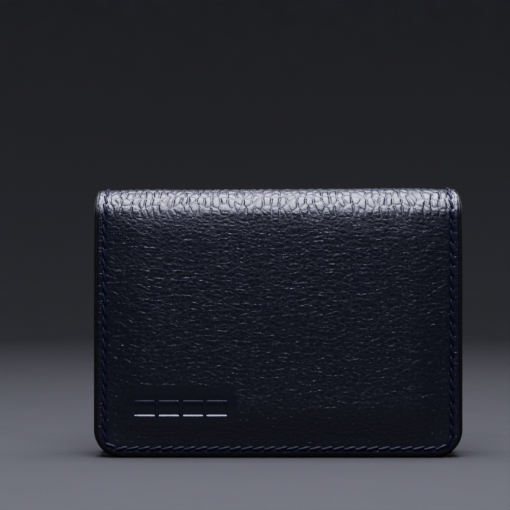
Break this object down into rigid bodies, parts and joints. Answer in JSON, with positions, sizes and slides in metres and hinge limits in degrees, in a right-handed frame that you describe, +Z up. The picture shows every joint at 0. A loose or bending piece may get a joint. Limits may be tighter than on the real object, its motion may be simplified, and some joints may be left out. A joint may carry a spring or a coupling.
{
  "type": "card holder",
  "caption": "Bifold leather card holder, closed, with stepped card pockets inside both halves and a bending fold along the top.",
  "frame": {"origin": "centre of the closed holder's footprint, on the surface it stands on", "axes": "+X along the fold, +Y from the front cover to the back cover, +Z up towards the fold"},
  "size_m": [0.105, 0.015, 0.0765],
  "materials": {
    "cover_leather": "pebbled, semi-gloss, dark navy",
    "pocket_leather": "fine grain, satin, dark navy",
    "lining": "plain woven, matte",
    "board": "grey board, matte",
    "thread": "waxed polyester, satin, navy",
    "edge_paint": "black edge paint, satin"
  },
  "bodies": {
    "back_half": {"cover_back": "cover_leather", "board_back": "board", "lining_back": "lining", "inner_panel_back": "pocket_leather", "pocket_high_back": "pocket_leather", "pocket_mid_back": "pocket_leather", "pocket_low_back": "pocket_leather", "seam_outer_back": "thread", "seam_inner_back": "thread", "edge_back": "edge_paint"},
    "front_half": {"cover_front": "cover_leather", "board_front": "board", "lining_front": "lining", "inner_panel_front": "pocket_leather", "pocket_high_front": "pocket_leather", "pocket_mid_front": "pocket_leather", "pocket_low_front": "pocket_leather", "seam_outer_front": "thread", "seam_inner_front": "thread", "edge_front": "edge_paint"},
    "fold_1": {"cover_fold_1": "cover_leather", "lining_fold_1": "lining", "seam_fold_1_left": "thread", "seam_fold_1_right": "thread", "edge_fold_1_left": "edge_paint", "edge_fold_1_right": "edge_paint"},
    "fold_2": {"cover_fold_2": "cover_leather", "lining_fold_2": "lining", "seam_fold_2_left": "thread", "seam_fold_2_right": "thread", "edge_fold_2_left": "edge_paint", "edge_fold_2_right": "edge_paint"},
    "fold_3": {"cover_fold_3": "cover_leather", "lining_fold_3": "lining", "seam_fold_3_left": "thread", "seam_fold_3_right": "thread", "edge_fold_3_left": "edge_paint", "edge_fold_3_right": "edge_paint"}
  },
  "joints": [
    {"name": "fold_open", "type": "hinge", "parent": "back_half", "child": "fold_1", "pos_m": [0, 0.00711, 0.07194], "axis": [-1, 0, 0], "range_deg": [0, 45]},
    {"name": "fold_bend_2", "type": "hinge", "parent": "fold_1", "child": "fold_2", "pos_m": [0, 0.00295, 0.07611], "axis": [-1, 0, 0], "range_deg": [0, 45]},
    {"name": "fold_bend_3", "type": "hinge", "parent": "fold_2", "child": "fold_3", "pos_m": [0, -0.00295, 0.07611], "axis": [-1, 0, 0], "range_deg": [0, 45]},
    {"name": "fold_bend_4", "type": "hinge", "parent": "fold_3", "child": "front_half", "pos_m": [0, -0.00711, 0.07194], "axis": [-1, 0, 0], "range_deg": [0, 45]}
  ],
  "couplings": [
    {"joint": "fold_bend_2", "follows": "fold_open", "ratio": 1},
    {"joint": "fold_bend_3", "follows": "fold_open", "ratio": 1},
    {"joint": "fold_bend_4", "follows": "fold_open", "ratio": 1}
  ]
}
